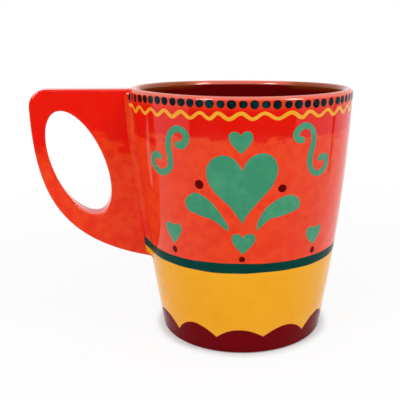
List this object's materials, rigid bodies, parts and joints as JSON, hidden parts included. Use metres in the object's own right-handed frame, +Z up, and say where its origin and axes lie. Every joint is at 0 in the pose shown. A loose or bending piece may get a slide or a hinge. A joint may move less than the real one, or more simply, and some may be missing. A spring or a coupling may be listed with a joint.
{
  "type": "mug",
  "caption": "Tapered ceramic mug with a rounded rim, a flat slab handle with a slanted oval finger hole, a dark waist line and brushed glaze bands over a scalloped hem.",
  "frame": {"origin": "centre of the bounding box in plan, at the table under the foot; the cup's axis is at x = +0.0205 m", "axes": "+Z up along the cup's axis, the handle towards -X in the XZ plane, +Y away from the pictured side"},
  "size_m": [0.1353, 0.0942, 0.108],
  "materials": {
    "bare_clay": "fired, unglazed",
    "red_glaze": "gloss",
    "maroon_glaze": "gloss",
    "green_glaze": "gloss",
    "yellow_glaze": "gloss"
  },
  "bodies": {
    "root": {"cup_body": "bare_clay", "handle": "red_glaze", "luting_slip": "red_glaze", "liner_glaze": "maroon_glaze", "red_glaze_coat": "red_glaze", "green_waist_line": "green_glaze", "yellow_glaze_coat": "yellow_glaze", "maroon_scallop_coat": "maroon_glaze"}
  },
  "joints": []
}
